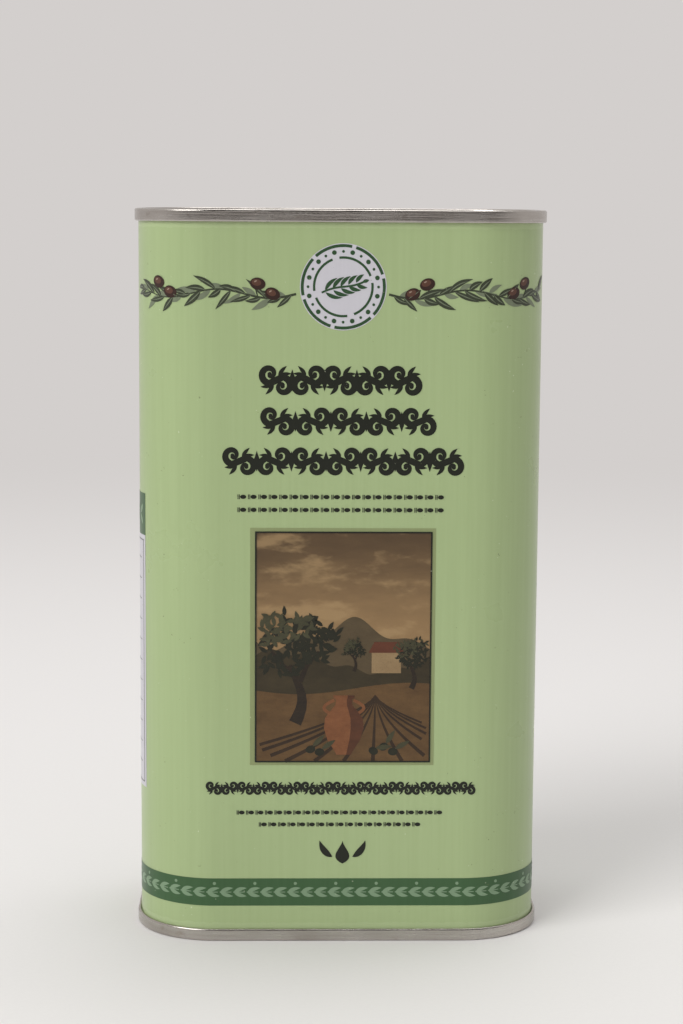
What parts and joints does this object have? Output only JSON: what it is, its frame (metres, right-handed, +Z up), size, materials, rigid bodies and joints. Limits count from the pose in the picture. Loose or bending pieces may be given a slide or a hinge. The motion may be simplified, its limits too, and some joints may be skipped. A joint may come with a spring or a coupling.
{
  "type": "rectangular oil tin with telescoping spout",
  "caption": "Rectangular double-seamed tinplate oil tin with rounded corners, printed body and a recessed pull-up pouring spout under a screw cap with folding bails.",
  "frame": {"origin": "middle of the base, on the surface that the tin stands on", "axes": "+X to the right across the front, towards the closure's end; -Y is the printed front; +Z up"},
  "size_m": [0.1058, 0.0618, 0.1878],
  "materials": {
    "printed_tinplate": "pale green offset print under clear lacquer on tinplate, soft gloss",
    "tinplate": "bare rolled tinplate with fine draw marks",
    "seam_compound": "matt dried latex",
    "gasket_rubber": "matt pale food-grade rubber",
    "closure_plastic": "dark green moulded polyethylene, satin",
    "spout_plastic": "natural white moulded polyethylene, slightly waxy",
    "liner_foam": "white foamed polyethylene"
  },
  "bodies": {
    "root": {"tin_body": "printed_tinplate", "top_end": "tinplate", "bottom_end": "tinplate", "top_seam_compound": "seam_compound", "bottom_seam_compound": "seam_compound", "neck_gasket": "gasket_rubber", "spout_collar": "closure_plastic"},
    "spout": {"spout_tube": "spout_plastic", "tamper_band": "closure_plastic"},
    "liner": {"cap_liner": "liner_foam"},
    "cap": {"screw_cap": "closure_plastic"},
    "left_bail": {"bail_left": "closure_plastic"},
    "right_bail": {"bail_right": "closure_plastic"}
  },
  "joints": [
    {"name": "spout_extend", "type": "slide", "parent": "root", "child": "spout", "axis": [0, 0, 1], "range_m": [0, 0.0242]},
    {"name": "cap_rise", "type": "slide", "parent": "spout", "child": "liner", "axis": [0, 0, 1], "range_m": [0, 0.0151]},
    {"name": "cap_turn", "type": "hinge", "parent": "liner", "child": "cap", "pos_m": [0.025, 0, 0.18], "axis": [0, 0, 1], "range_deg": [0, 900]},
    {"name": "left_bail_fold", "type": "hinge", "parent": "cap", "child": "left_bail", "pos_m": [0.0237, 0, 0.18625], "axis": [0, 1, 0], "range_deg": [0, 90]},
    {"name": "right_bail_fold", "type": "hinge", "parent": "cap", "child": "right_bail", "pos_m": [0.0263, 0, 0.18625], "axis": [0, -1, 0], "range_deg": [0, 90]}
  ],
  "couplings": [
    {"joint": "cap_rise", "follows": "cap_turn", "m_per_rad": 0.00095493}
  ]
}
